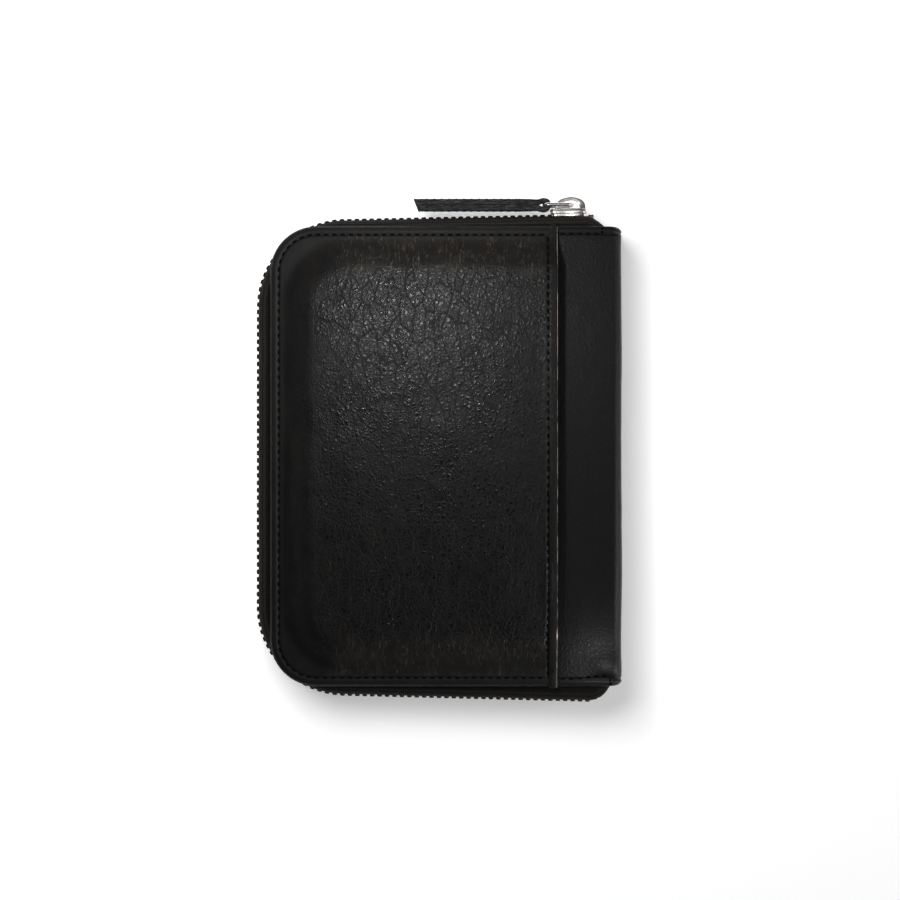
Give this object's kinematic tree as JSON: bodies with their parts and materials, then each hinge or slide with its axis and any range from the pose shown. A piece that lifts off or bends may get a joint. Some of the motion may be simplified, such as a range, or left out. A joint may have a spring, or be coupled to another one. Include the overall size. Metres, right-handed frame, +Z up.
{
  "type": "travel document organizer",
  "caption": "Zip-around leather travel wallet for passports, tickets and cards, with a formed outer passport pocket, two hinged covers on a flat spine, and a sliding zip pull.",
  "frame": {"origin": "centre of the back cover's outer face, which is the face that it lies on", "axes": "+X from the fore-edge towards the spine, +Y along the spine towards the end where the zip closes, +Z up through the thickness towards the outer passport pocket"},
  "size_m": [0.1225, 0.1696, 0.0266],
  "materials": {
    "leather": "black pebbled leather with a soft sheen",
    "inner_leather": "smooth black leather",
    "lining": "dark woven lining",
    "board": "plain bookbinding board",
    "zip_tape": "black woven tape",
    "zip_teeth": "black moulded nylon",
    "zip_metal": "polished nickel plate"
  },
  "bodies": {
    "back_cover": {"back_cover_leather": "leather", "back_cover_board": "board", "back_cover_lining": "lining", "back_zip_tape": "zip_tape", "back_zip_teeth": "zip_teeth", "back_top_stop": "zip_metal", "bottom_stop": "zip_metal", "document_sleeve": "inner_leather", "card_pocket_1": "inner_leather", "card_pocket_2": "inner_leather", "card_pocket_3": "inner_leather", "card_pocket_4": "inner_leather"},
    "spine": {"spine_leather": "leather", "spine_lining": "lining"},
    "front_cover": {"front_cover_leather": "leather", "front_cover_board": "board", "front_cover_lining": "lining", "front_zip_tape": "zip_tape", "front_zip_teeth": "zip_teeth", "front_top_stop": "zip_metal", "ticket_sleeve": "inner_leather", "outer_pocket_panel": "leather", "outer_pocket_binding": "leather"},
    "zip_slider": {"slider_body": "zip_metal", "slider_crown": "zip_metal"},
    "pull_link": {"pull_link": "zip_metal"},
    "pull_strap": {"pull_strap": "leather"}
  },
  "joints": [
    {"name": "spine_fold", "type": "hinge", "parent": "back_cover", "child": "spine", "pos_m": [0.05775, 0, 0.00125], "axis": [0, 1, 0], "range_deg": [0, 90]},
    {"name": "cover_fold", "type": "hinge", "parent": "spine", "child": "front_cover", "pos_m": [0.05775, 0, 0.01875], "axis": [0, 1, 0], "range_deg": [0, 70]},
    {"name": "slider_travel", "type": "slide", "parent": "back_cover", "child": "zip_slider", "axis": [-0.9998, -0.0209, 0], "range_m": [0, 0.068], "deforming": ["back_zip_teeth", "front_zip_teeth"]},
    {"name": "link_swing", "type": "hinge", "parent": "zip_slider", "child": "pull_link", "pos_m": [0.04231, 0.0847, 0.01], "axis": [0, 0, -1], "range_deg": [0, 120]},
    {"name": "strap_swing", "type": "hinge", "parent": "pull_link", "child": "pull_strap", "pos_m": [0.03301, 0.0847, 0.01], "axis": [0, 0, -1], "range_deg": [0, 60]}
  ],
  "couplings": [
    {"joint": "cover_fold", "follows": "spine_fold", "ratio": 0.77778}
  ]
}
